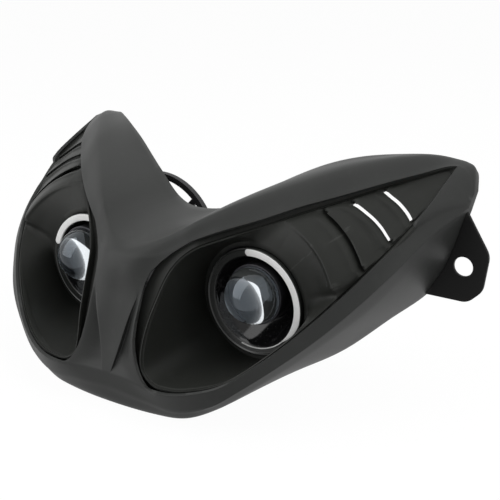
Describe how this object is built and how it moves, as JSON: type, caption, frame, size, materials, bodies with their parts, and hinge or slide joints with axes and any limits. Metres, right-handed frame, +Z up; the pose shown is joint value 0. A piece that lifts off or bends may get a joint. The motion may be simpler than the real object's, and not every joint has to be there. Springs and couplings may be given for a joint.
{
  "type": "twin headlight",
  "caption": "Scooter front mask in satin black plastic with two round projector lamps, partial light-guide rings and louvred inner panels, on two side mounting ears.",
  "frame": {"origin": "midway between the two mounting ears' holes, on the ears' rear faces", "axes": "-Y forwards, the way the lamps shine; +X to the right of someone facing the lamps; +Z up"},
  "size_m": [0.4166, 0.2149, 0.1689],
  "materials": {
    "mask_black": "satin, finely grained, scuffed along the edges",
    "panel_black": "satin, finely grained",
    "bezel_grey": "satin dark grey",
    "guide_light_grey": "milky light grey with fine ribs",
    "board_dark": "plain",
    "bowl_gloss_black": "glossy black",
    "lens_clear": "clear polished dome",
    "holder_aluminium": "dark cast",
    "shield_steel": "plain",
    "reflector_bright": "bright metal-coated",
    "bulb_glass": "clear glass on a metal base",
    "clip_steel": "plain",
    "can_black": "plain moulded",
    "cap_rubber": "matte",
    "screw_steel": "plain zinc"
  },
  "bodies": {
    "root": {"outer_mask": "mask_black", "inner_panel_right": "panel_black", "inner_panel_left": "panel_black", "projector_bowl_right": "bowl_gloss_black", "projector_bowl_left": "bowl_gloss_black", "lens_right": "lens_clear", "lens_left": "lens_clear", "lens_holder_right": "holder_aluminium", "lens_holder_left": "holder_aluminium", "cutoff_shield_right": "shield_steel", "cutoff_shield_left": "shield_steel", "reflector_right": "reflector_bright", "reflector_left": "reflector_bright", "bulb_right": "bulb_glass", "bulb_left": "bulb_glass", "bulb_clip_right": "clip_steel", "bulb_clip_left": "clip_steel", "lamp_can_right": "can_black", "lamp_can_left": "can_black", "rear_cap_right": "cap_rubber", "rear_cap_left": "cap_rubber", "bezel_ring_right": "bezel_grey", "bezel_ring_left": "bezel_grey", "light_guide_right": "guide_light_grey", "light_guide_left": "guide_light_grey", "guide_board_right": "board_dark", "guide_board_left": "board_dark", "lamp_screws": "screw_steel", "panel_screws": "screw_steel"}
  },
  "joints": []
}
